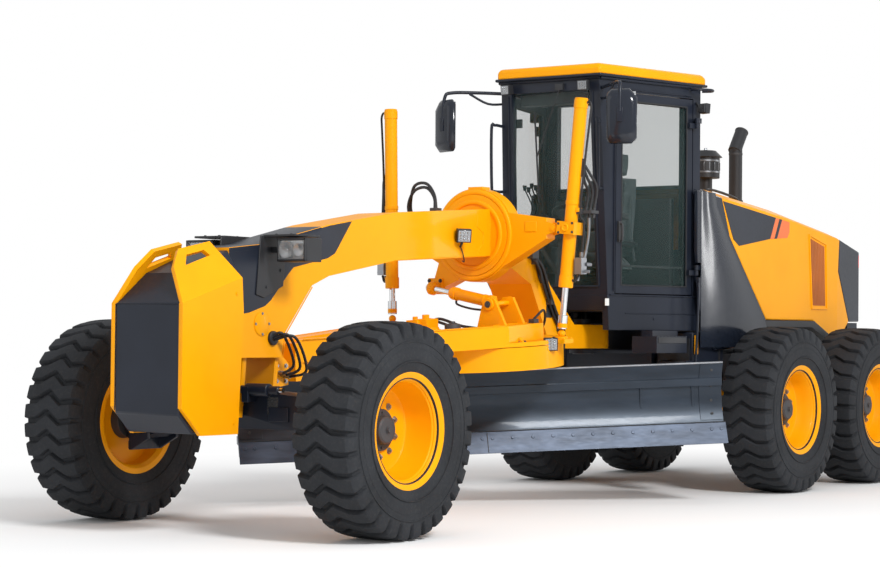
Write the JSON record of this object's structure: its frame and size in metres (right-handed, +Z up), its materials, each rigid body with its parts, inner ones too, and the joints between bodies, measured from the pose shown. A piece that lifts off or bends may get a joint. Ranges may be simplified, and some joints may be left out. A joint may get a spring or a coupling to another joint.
{
  "type": "motor grader",
  "caption": "Motor grader with articulated frame, leaning steered front wheels, tandem-driven rear wheels, glazed cab, and a blade on a turning circle under an arched beam.",
  "frame": {"origin": "on the ground under the middle of the machine's overall length, on its centreline", "axes": "+X to the machine's left, +Y rearwards (the front faces -Y), +Z up"},
  "size_m": [2.7709, 8.89, 3.35],
  "materials": {
    "yellow_paint": "gloss enamel",
    "navy_paint": "gloss enamel, near-black navy",
    "tyre_rubber": "matt",
    "chrome": "polished",
    "bare_steel": "satin",
    "cast_iron": "matt",
    "tinted_glass": "clear with a pale green tint",
    "black_plastic": "matt",
    "seat_fabric": "woven"
  },
  "bodies": {
    "rear_frame": {"rear_frame": "navy_paint", "engine_block": "cast_iron", "rear_axle": "yellow_paint", "tandem_cases": "yellow_paint", "hood": "yellow_paint", "hood_front": "navy_paint", "rear_grille": "navy_paint", "side_boxes": "yellow_paint", "steps": "navy_paint", "exhaust_stack": "bare_steel", "air_precleaner": "black_plastic", "cab_frame": "navy_paint", "cab_base": "navy_paint", "cab_roof": "yellow_paint", "cab_glass": "tinted_glass", "seat": "seat_fabric", "steering_console": "black_plastic", "mirrors": "black_plastic"},
    "front_frame": {"front_frame": "yellow_paint", "saddle": "yellow_paint", "push_block": "navy_paint", "push_block_cheeks": "yellow_paint", "headlights": "black_plastic", "front_axle": "navy_paint"},
    "lean_yoke_left": {"lean_yoke_left": "navy_paint"},
    "lean_yoke_right": {"lean_yoke_right": "navy_paint"},
    "spindle_left": {"spindle_left": "navy_paint"},
    "spindle_right": {"spindle_right": "navy_paint"},
    "drawbar_ball": {"drawbar_ball": "bare_steel"},
    "drawbar": {"drawbar": "yellow_paint"},
    "circle": {"circle": "yellow_paint"},
    "blade_support": {"blade_support": "yellow_paint"},
    "moldboard": {"moldboard": "navy_paint", "cutting_edge": "bare_steel"},
    "lift_yoke_left": {"lift_yoke_left": "yellow_paint"},
    "lift_yoke_right": {"lift_yoke_right": "yellow_paint"},
    "lift_cylinder_left": {"lift_cylinder_left": "yellow_paint"},
    "lift_cylinder_right": {"lift_cylinder_right": "yellow_paint"},
    "lift_rod_left": {"lift_rod_left": "chrome"},
    "lift_rod_right": {"lift_rod_right": "chrome"},
    "centre_shift_rod": {"centre_shift_rod": "chrome"},
    "centre_shift_cylinder": {"centre_shift_cylinder": "yellow_paint"},
    "door_left": {"cab_door_left": "navy_paint", "door_glass_left": "tinted_glass"},
    "door_right": {"cab_door_right": "navy_paint", "door_glass_right": "tinted_glass"},
    "wheel_front_left": {"tyre_front_left": "tyre_rubber", "rim_front_left": "yellow_paint"},
    "wheel_front_right": {"tyre_front_right": "tyre_rubber", "rim_front_right": "yellow_paint"},
    "wheel_middle_left": {"tyre_middle_left": "tyre_rubber", "rim_middle_left": "yellow_paint"},
    "wheel_middle_right": {"tyre_middle_right": "tyre_rubber", "rim_middle_right": "yellow_paint"},
    "wheel_rear_left": {"tyre_rear_left": "tyre_rubber", "rim_rear_left": "yellow_paint"},
    "wheel_rear_right": {"tyre_rear_right": "tyre_rubber", "rim_rear_right": "yellow_paint"}
  },
  "joints": [
    {"name": "articulation", "type": "hinge", "parent": "rear_frame", "child": "front_frame", "pos_m": [0, 0.65, 1.2475], "axis": [0, 0, -1], "range_deg": [-25, 25]},
    {"name": "wheel_lean_left", "type": "hinge", "parent": "front_frame", "child": "lean_yoke_left", "pos_m": [0.77, -3.5, 0.62], "axis": [0, 1, 0], "range_deg": [-18, 18]},
    {"name": "wheel_lean_right", "type": "hinge", "parent": "front_frame", "child": "lean_yoke_right", "pos_m": [-0.77, -3.5, 0.62], "axis": [0, 1, 0], "range_deg": [-18, 18]},
    {"name": "steering_left", "type": "hinge", "parent": "lean_yoke_left", "child": "spindle_left", "pos_m": [0.935, -3.5, 0.67], "axis": [0, 0, 1], "range_deg": [-45, 45]},
    {"name": "steering_right", "type": "hinge", "parent": "lean_yoke_right", "child": "spindle_right", "pos_m": [-0.935, -3.5, 0.67], "axis": [0, 0, 1], "range_deg": [-45, 45]},
    {"name": "roll_front_left", "type": "hinge", "parent": "spindle_left", "child": "wheel_front_left", "pos_m": [1.12, -3.5, 0.67], "axis": [1, 0, 0], "continuous": true},
    {"name": "roll_front_right", "type": "hinge", "parent": "spindle_right", "child": "wheel_front_right", "pos_m": [-1.12, -3.5, 0.67], "axis": [1, 0, 0], "continuous": true},
    {"name": "roll_middle_left", "type": "hinge", "parent": "rear_frame", "child": "wheel_middle_left", "pos_m": [1.1, 1.925, 0.67], "axis": [1, 0, 0], "continuous": true},
    {"name": "roll_middle_right", "type": "hinge", "parent": "rear_frame", "child": "wheel_middle_right", "pos_m": [-1.1, 1.925, 0.67], "axis": [1, 0, 0], "continuous": true},
    {"name": "roll_rear_left", "type": "hinge", "parent": "rear_frame", "child": "wheel_rear_left", "pos_m": [1.1, 3.475, 0.67], "axis": [1, 0, 0], "continuous": true},
    {"name": "roll_rear_right", "type": "hinge", "parent": "rear_frame", "child": "wheel_rear_right", "pos_m": [-1.1, 3.475, 0.67], "axis": [1, 0, 0], "continuous": true},
    {"name": "drawbar_swing", "type": "hinge", "parent": "front_frame", "child": "drawbar_ball", "pos_m": [0, -3.14, 1], "axis": [0, 0, 1], "range_deg": [-5.5, 5.5]},
    {"name": "drawbar_lift", "type": "hinge", "parent": "drawbar_ball", "child": "drawbar", "pos_m": [0, -3.14, 1], "axis": [1, 0, 0], "range_deg": [-20, 2]},
    {"name": "circle_turn", "type": "hinge", "parent": "drawbar", "child": "circle", "pos_m": [0, -1.00216, 1.1007], "axis": [0, -0.061, 0.9981], "continuous": true},
    {"name": "blade_tip", "type": "hinge", "parent": "circle", "child": "blade_support", "pos_m": [-0.23334, -0.73628, 0.57595], "axis": [0.7071, 0.7058, 0.0432], "range_deg": [-5, 47]},
    {"name": "blade_side_shift", "type": "slide", "parent": "blade_support", "child": "moldboard", "axis": [-0.7071, -0.7058, -0.0432], "range_m": [-0.45, 0.7]},
    {"name": "lift_yoke_left_swing", "type": "hinge", "parent": "front_frame", "child": "lift_yoke_left", "pos_m": [0.69, -0.845, 2.03], "axis": [0, 1, 0], "range_deg": [-18, 18]},
    {"name": "lift_cylinder_left_tilt", "type": "hinge", "parent": "lift_yoke_left", "child": "lift_cylinder_left", "pos_m": [0.8, -0.845, 2.03], "axis": [0.9958, 0, -0.0918], "range_deg": [-6, 6]},
    {"name": "lift_rod_left_slide", "type": "slide", "parent": "lift_cylinder_left", "child": "lift_rod_left", "axis": [-0.0918, 0.0036, -0.9958], "range_m": [-0.12, 0.85]},
    {"name": "lift_yoke_right_swing", "type": "hinge", "parent": "front_frame", "child": "lift_yoke_right", "pos_m": [-0.69, -0.845, 2.03], "axis": [0, 1, 0], "range_deg": [-18, 18]},
    {"name": "lift_cylinder_right_tilt", "type": "hinge", "parent": "lift_yoke_right", "child": "lift_cylinder_right", "pos_m": [-0.8, -0.845, 2.03], "axis": [0.9997, 0, 0.0258], "range_deg": [-6, 6]},
    {"name": "lift_rod_right_slide", "type": "slide", "parent": "lift_cylinder_right", "child": "lift_rod_right", "axis": [0.0258, -0.0051, -0.9997], "range_m": [-0.12, 0.85]},
    {"name": "centre_shift_tilt", "type": "hinge", "parent": "front_frame", "child": "centre_shift_rod", "pos_m": [-0.34, -0.965, 1.6], "axis": [0, 1, 0], "range_deg": [-6, 55]},
    {"name": "centre_shift_slide", "type": "slide", "parent": "centre_shift_rod", "child": "centre_shift_cylinder", "axis": [0.9498, -0.2723, -0.154], "range_m": [-0.2, 0.2]},
    {"name": "door_left_hinge", "type": "hinge", "parent": "rear_frame", "child": "door_left", "pos_m": [0.75702, 1.12094, 2.3], "axis": [0, 0, 1], "range_deg": [0, 80]},
    {"name": "door_right_hinge", "type": "hinge", "parent": "rear_frame", "child": "door_right", "pos_m": [-0.75702, 1.12094, 2.3], "axis": [0, 0, -1], "range_deg": [0, 80]}
  ],
  "couplings": [
    {"joint": "wheel_lean_right", "follows": "wheel_lean_left", "ratio": 1},
    {"joint": "steering_right", "follows": "steering_left", "ratio": 1},
    {"joint": "lift_yoke_left_swing", "follows": "drawbar_swing", "ratio": 2.95},
    {"joint": "lift_cylinder_left_tilt", "follows": "drawbar_swing", "ratio": 0.9},
    {"joint": "lift_rod_left_slide", "follows": "drawbar_lift", "m_per_rad": -2.2},
    {"joint": "lift_yoke_right_swing", "follows": "drawbar_swing", "ratio": 3.15},
    {"joint": "lift_cylinder_right_tilt", "follows": "drawbar_swing", "ratio": -1},
    {"joint": "lift_rod_right_slide", "follows": "drawbar_lift", "m_per_rad": -2.15},
    {"joint": "centre_shift_tilt", "follows": "drawbar_lift", "ratio": -1.8},
    {"joint": "centre_shift_slide", "follows": "drawbar_swing", "m_per_rad": -2}
  ]
}
